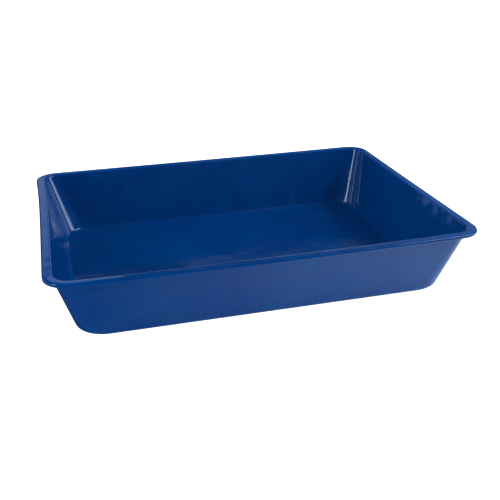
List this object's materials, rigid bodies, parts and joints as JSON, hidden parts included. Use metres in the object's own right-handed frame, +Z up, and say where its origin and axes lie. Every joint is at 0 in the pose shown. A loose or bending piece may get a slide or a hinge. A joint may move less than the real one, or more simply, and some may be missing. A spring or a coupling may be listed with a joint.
{
  "type": "mud pan",
  "caption": "Shallow rectangular pan for mixing and carrying wet mud, with sloping walls, rounded corners, a flat floor and a beaded rim moulded round a rod.",
  "frame": {"origin": "middle of the base, on the surface that the pan stands on", "axes": "+X along the length, +Y along the width, +Z up out of the open mouth"},
  "size_m": [0.61, 0.457, 0.101],
  "materials": {
    "pan_shell": "glossy deep blue moulding, coloured through, with faint scuffs on the floor and walls",
    "rim_rod": "plain drawn steel"
  },
  "bodies": {
    "root": {"pan_shell": "pan_shell", "rim_rod": "rim_rod"}
  },
  "joints": []
}
